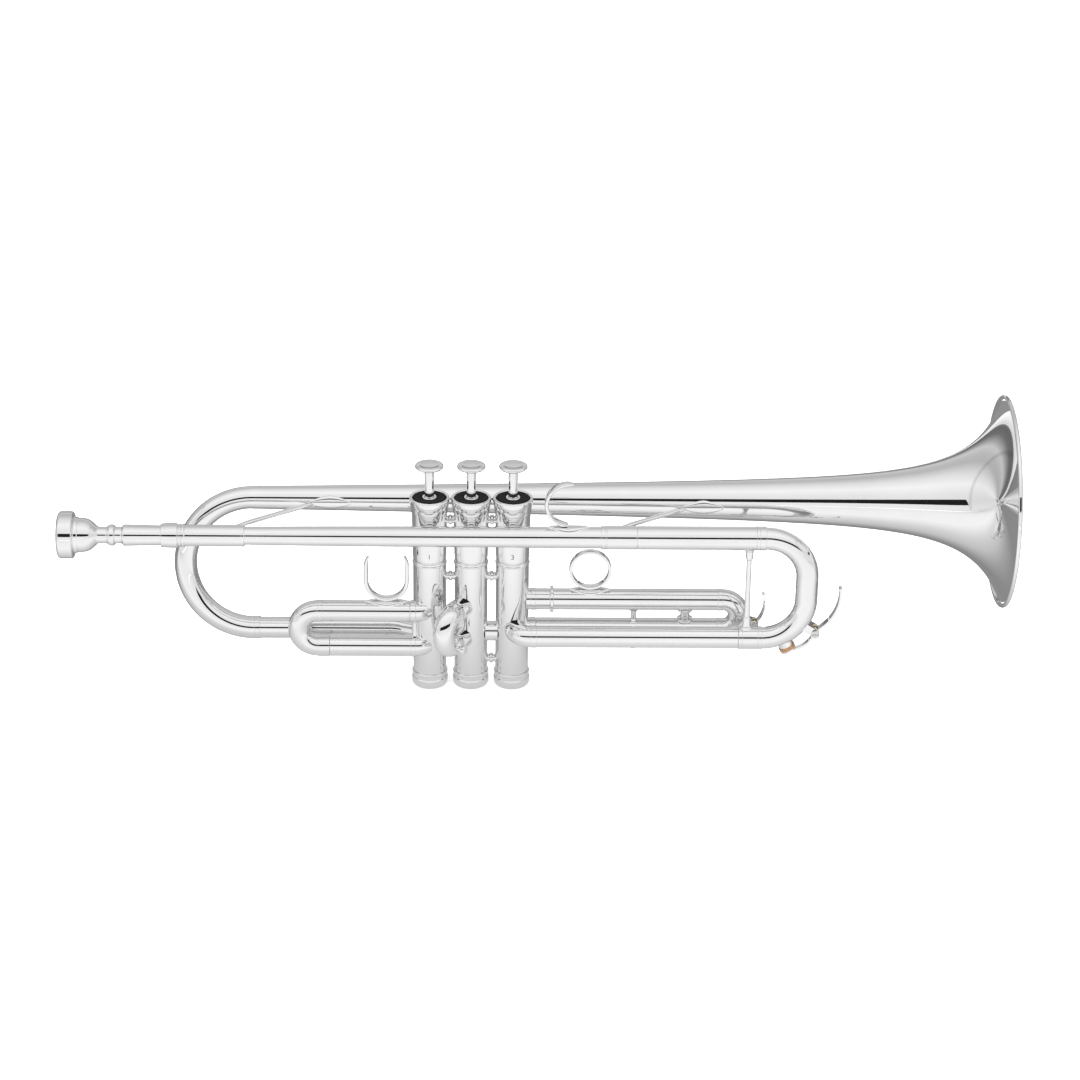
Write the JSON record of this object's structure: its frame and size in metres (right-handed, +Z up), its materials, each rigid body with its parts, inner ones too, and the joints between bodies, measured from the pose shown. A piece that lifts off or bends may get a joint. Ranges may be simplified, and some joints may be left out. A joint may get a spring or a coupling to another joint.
{
  "type": "trumpet",
  "caption": "Silver-plated piston-valve trumpet with a flared bell, bowed tubing, tuning slides, water keys, finger hooks and a removable mouthpiece.",
  "frame": {"origin": "centre of the bottom face of the second valve's bottom cap", "axes": "+X along the bell towards its mouth, +Z up the valves towards the finger buttons, -Y on the leadpipe's side"},
  "size_m": [0.5405, 0.123, 0.1695],
  "materials": {
    "silver_plate": "brass with bright silver plate, mirror polished",
    "piston_nickel": "lapped nickel alloy",
    "black_felt": "dense black wool felt",
    "cork": "natural cork",
    "spring_steel": "drawn spring wire",
    "screw_steel": "turned steel",
    "guide_nylon": "natural nylon"
  },
  "bodies": {
    "horn": {"bell_bow": "silver_plate", "bell_flare": "silver_plate", "bell_rim_wire": "silver_plate", "bottom_cap_1": "silver_plate", "bottom_cap_2": "silver_plate", "bottom_cap_3": "silver_plate", "cap_felts": "black_felt", "casing_ties": "silver_plate", "crossover_tubes": "silver_plate", "first_slide_sleeves": "silver_plate", "front_brace": "silver_plate", "leadpipe": "silver_plate", "leadpipe_ferrule": "silver_plate", "main_slide_sleeve": "silver_plate", "mouthpiece_receiver": "silver_plate", "pinky_hook": "silver_plate", "rear_brace": "silver_plate", "second_slide_sleeves": "silver_plate", "third_slide_stubs": "silver_plate", "top_cap_1": "silver_plate", "top_cap_2": "silver_plate", "top_cap_3": "silver_plate", "valve_casing_1": "silver_plate", "valve_casing_2": "silver_plate", "valve_casing_3": "silver_plate", "valve_guides": "guide_nylon", "valve_spring_1": "spring_steel", "valve_spring_2": "spring_steel", "valve_spring_3": "spring_steel"},
    "valve_1": {"piston_1": "piston_nickel", "valve_stem_1": "silver_plate", "finger_button_1": "silver_plate", "stem_felt_1": "black_felt"},
    "valve_2": {"piston_2": "piston_nickel", "valve_stem_2": "silver_plate", "finger_button_2": "silver_plate", "stem_felt_2": "black_felt"},
    "valve_3": {"piston_3": "piston_nickel", "valve_stem_3": "silver_plate", "finger_button_3": "silver_plate", "stem_felt_3": "black_felt"},
    "main_slide": {"main_slide_tubes": "silver_plate", "main_slide_brace": "silver_plate", "main_key_seat": "silver_plate", "main_key_screw": "screw_steel"},
    "main_water_key": {"main_key_lever": "silver_plate", "main_key_cork": "cork", "main_key_spring": "spring_steel"},
    "first_slide": {"first_slide_tubes": "silver_plate", "thumb_saddle": "silver_plate"},
    "second_slide": {"second_slide_tubes": "silver_plate"},
    "third_slide": {"third_slide_tubes": "silver_plate", "third_slide_fittings": "silver_plate", "finger_ring": "silver_plate", "third_key_seat": "silver_plate", "third_key_screw": "screw_steel"},
    "third_water_key": {"third_key_lever": "silver_plate", "third_key_cork": "cork", "third_key_spring": "spring_steel"},
    "mouthpiece": {"mouthpiece": "silver_plate"}
  },
  "joints": [
    {"name": "valve_1_press", "type": "slide", "parent": "horn", "child": "valve_1", "axis": [0, 0, -1], "range_m": [0, 0.0165], "stiffness_N_per_m": 120, "springref_m": -0.02, "deforming": ["valve_spring_1"]},
    {"name": "valve_2_press", "type": "slide", "parent": "horn", "child": "valve_2", "axis": [0, 0, -1], "range_m": [0, 0.0165], "stiffness_N_per_m": 120, "springref_m": -0.02, "deforming": ["valve_spring_2"]},
    {"name": "valve_3_press", "type": "slide", "parent": "horn", "child": "valve_3", "axis": [0, 0, -1], "range_m": [0, 0.0165], "stiffness_N_per_m": 120, "springref_m": -0.02, "deforming": ["valve_spring_3"]},
    {"name": "main_slide_pull", "type": "slide", "parent": "horn", "child": "main_slide", "axis": [1, 0, 0], "range_m": [0, 0.03]},
    {"name": "main_key_press", "type": "hinge", "parent": "main_slide", "child": "main_water_key", "pos_m": [0.19726, -0.018, 0.04414], "axis": [0, -1, 0], "range_deg": [0, 22], "stiffness_Nm_per_rad": 0.02, "springref_deg": -34.38},
    {"name": "first_slide_pull", "type": "slide", "parent": "horn", "child": "first_slide", "axis": [-1, 0, 0], "range_m": [0, 0.02]},
    {"name": "second_slide_pull", "type": "slide", "parent": "horn", "child": "second_slide", "axis": [-0.5299, -0.848, 0], "range_m": [0, 0.005]},
    {"name": "third_slide_pull", "type": "slide", "parent": "horn", "child": "third_slide", "axis": [1, 0, 0], "range_m": [0, 0.025]},
    {"name": "third_key_press", "type": "hinge", "parent": "third_slide", "child": "third_water_key", "pos_m": [0.16425, 0, 0.03984], "axis": [0, -1, 0], "range_deg": [0, 22], "stiffness_Nm_per_rad": 0.01, "springref_deg": -34.38},
    {"name": "mouthpiece_pull", "type": "slide", "parent": "horn", "child": "mouthpiece", "axis": [-1, 0, 0], "range_m": [0, 0.03]}
  ]
}
